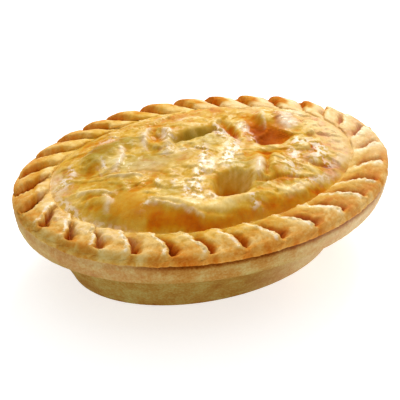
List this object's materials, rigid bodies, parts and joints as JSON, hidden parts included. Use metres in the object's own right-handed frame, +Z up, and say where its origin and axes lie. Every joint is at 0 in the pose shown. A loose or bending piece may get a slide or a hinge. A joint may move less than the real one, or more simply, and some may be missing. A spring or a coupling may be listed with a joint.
{
  "type": "chicken pie",
  "caption": "Whole oval savoury pie: a flared shortcrust case and a glossy domed lid with a steam hole, sealed by a rope-crimped rim. Rests on its flat base.",
  "frame": {"origin": "middle of the flat base, on the surface that the pie stands on", "axes": "+Z up out of the base, +X along the oval's long axis, +Y across it"},
  "size_m": [0.1477, 0.1114, 0.0453],
  "materials": {
    "pastry": "baked shortcrust pastry, egg glazed on the lid"
  },
  "bodies": {
    "root": {"pie": "pastry"}
  },
  "joints": []
}
